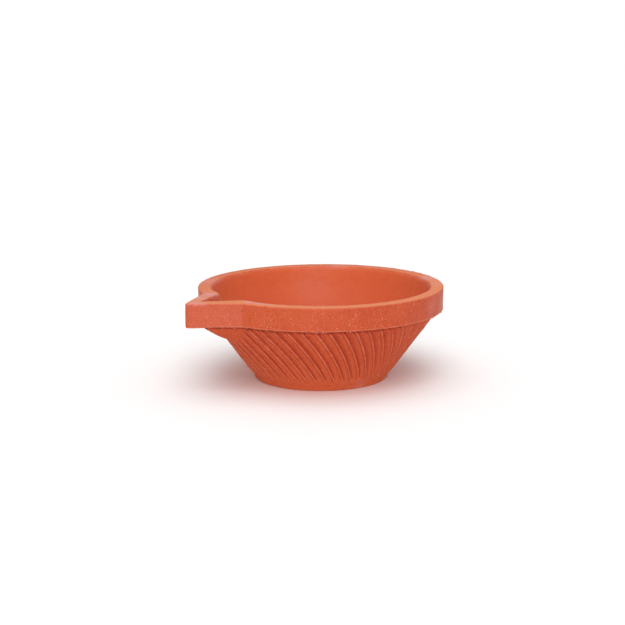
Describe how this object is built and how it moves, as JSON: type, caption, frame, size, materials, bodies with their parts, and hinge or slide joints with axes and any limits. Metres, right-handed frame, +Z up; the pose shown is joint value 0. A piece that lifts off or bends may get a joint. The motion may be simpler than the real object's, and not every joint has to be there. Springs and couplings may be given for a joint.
{
  "type": "oil lamp",
  "caption": "Pressed terracotta oil lamp (diya) with a V spout, twisted flutes on a conical body, and a loose cotton wick lying in its bowl.",
  "frame": {"origin": "centre of the flat underside of the foot, on the round body's axis", "axes": "+Z up along the round body's axis, -Y towards the tip of the spout, +X to the right of someone who faces the spout"},
  "size_m": [0.076, 0.0877, 0.0288],
  "materials": {
    "terracotta": "unglazed, matte, dusty",
    "cotton": "soft rolled cotton fibre"
  },
  "bodies": {
    "clay": {"clay_body": "terracotta"},
    "wick": {"wick": "cotton"}
  },
  "joints": [
    {"name": "wick_lift", "type": "slide", "parent": "clay", "child": "wick", "axis": [0, 0, 1], "range_m": [0, 0.035]}
  ]
}
